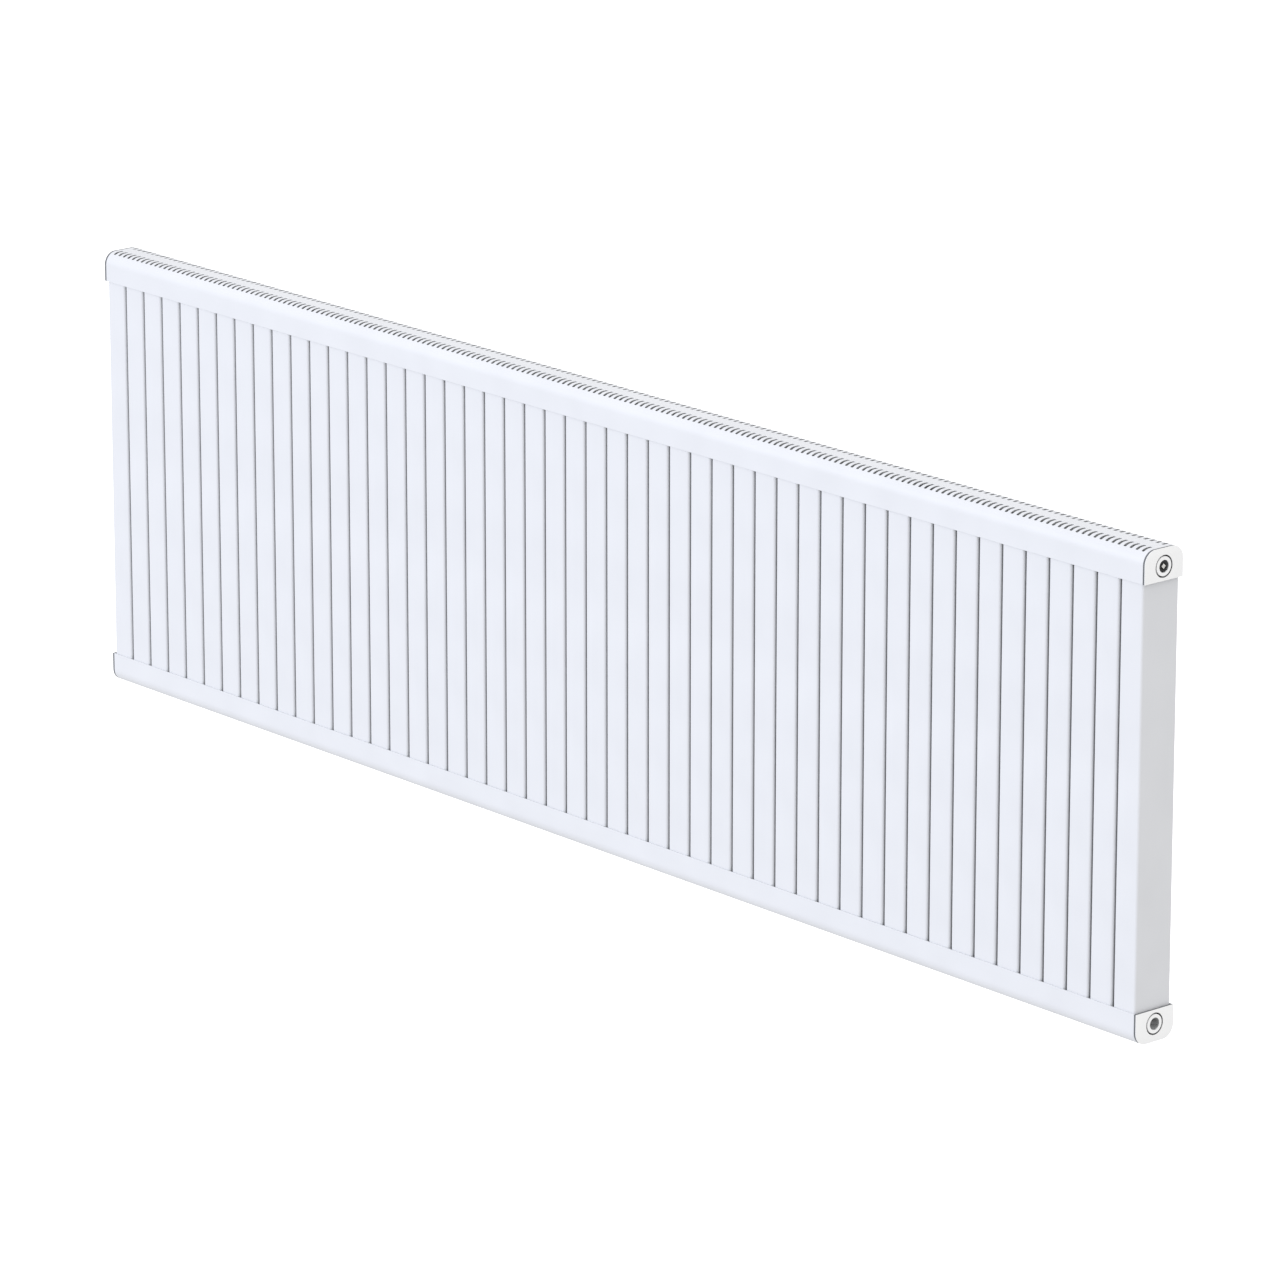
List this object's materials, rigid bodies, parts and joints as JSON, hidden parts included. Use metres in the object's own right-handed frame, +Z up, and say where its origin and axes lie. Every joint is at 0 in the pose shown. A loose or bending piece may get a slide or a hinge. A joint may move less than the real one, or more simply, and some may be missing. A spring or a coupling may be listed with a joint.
{
  "type": "panel radiator",
  "caption": "Wall-hung white aluminium hot-water radiator with upright slats, slotted D-section headers, side ports and a manual air vent.",
  "frame": {"origin": "middle of the top header's flat rear wall, at mid length, where the wall bracket bears", "axes": "+X to the right along the radiator seen from the room, +Y out of the rear wall towards the house wall, +Z up"},
  "size_m": [2.0048, 0.0624, 0.605],
  "materials": {
    "white_powder_coat": "satin",
    "white_cap": "satin",
    "mill_aluminium": "mill",
    "grey_gasket": "matte",
    "black_rubber": "matte",
    "nickel_plated_brass": "satin",
    "spring_steel": "satin"
  },
  "bodies": {
    "radiator": {"element_01": "white_powder_coat", "element_02": "white_powder_coat", "element_03": "white_powder_coat", "element_04": "white_powder_coat", "element_05": "white_powder_coat", "element_06": "white_powder_coat", "element_07": "white_powder_coat", "element_08": "white_powder_coat", "element_09": "white_powder_coat", "element_10": "white_powder_coat", "element_11": "white_powder_coat", "element_12": "white_powder_coat", "element_13": "white_powder_coat", "element_14": "white_powder_coat", "element_15": "white_powder_coat", "element_16": "white_powder_coat", "element_17": "white_powder_coat", "element_18": "white_powder_coat", "element_19": "white_powder_coat", "element_20": "white_powder_coat", "element_21": "white_powder_coat", "element_22": "white_powder_coat", "element_23": "white_powder_coat", "element_24": "white_powder_coat", "element_25": "white_powder_coat", "top_collector": "mill_aluminium", "bottom_collector": "mill_aluminium", "collector_end_top_left": "mill_aluminium", "collector_end_top_right": "mill_aluminium", "collector_end_bottom_left": "mill_aluminium", "collector_end_bottom_right": "mill_aluminium", "top_cover": "white_powder_coat", "bottom_cover": "white_powder_coat", "end_cap_top_left": "white_cap", "end_cap_top_right": "white_cap", "end_cap_bottom_left": "white_cap", "end_cap_bottom_right": "white_cap", "cap_gasket_top_left": "grey_gasket", "cap_gasket_top_right": "grey_gasket", "cap_gasket_bottom_left": "grey_gasket", "cap_gasket_bottom_right": "grey_gasket", "port_boss_top_left": "white_cap", "port_boss_top_right": "white_cap", "port_boss_bottom_left": "white_cap", "port_boss_bottom_right": "white_cap", "boss_ring_top_left": "black_rubber", "boss_ring_top_right": "black_rubber", "boss_ring_bottom_left": "black_rubber", "boss_ring_bottom_right": "black_rubber", "cover_clip_top_left": "spring_steel", "cover_clip_top_right": "spring_steel", "cover_clip_bottom_left": "spring_steel", "cover_clip_bottom_right": "spring_steel", "vent_body": "nickel_plated_brass", "vent_body_o_ring": "black_rubber", "blanking_plug": "nickel_plated_brass", "blanking_plug_o_ring": "black_rubber"},
    "bleed_seal": {"bleed_screw_o_ring": "black_rubber"},
    "bleed_spindle": {"bleed_screw": "nickel_plated_brass"}
  },
  "joints": [
    {"name": "bleed_screw_travel", "type": "slide", "parent": "radiator", "child": "bleed_seal", "axis": [1, 0, 0], "range_m": [0, 0.001]},
    {"name": "bleed_screw_turn", "type": "hinge", "parent": "bleed_seal", "child": "bleed_spindle", "pos_m": [1.00235, -0.0312, 0.0061], "axis": [1, 0, 0], "range_deg": [0, 360]}
  ],
  "couplings": [
    {"joint": "bleed_screw_turn", "follows": "bleed_screw_travel", "rad_per_m": 6283.2}
  ]
}
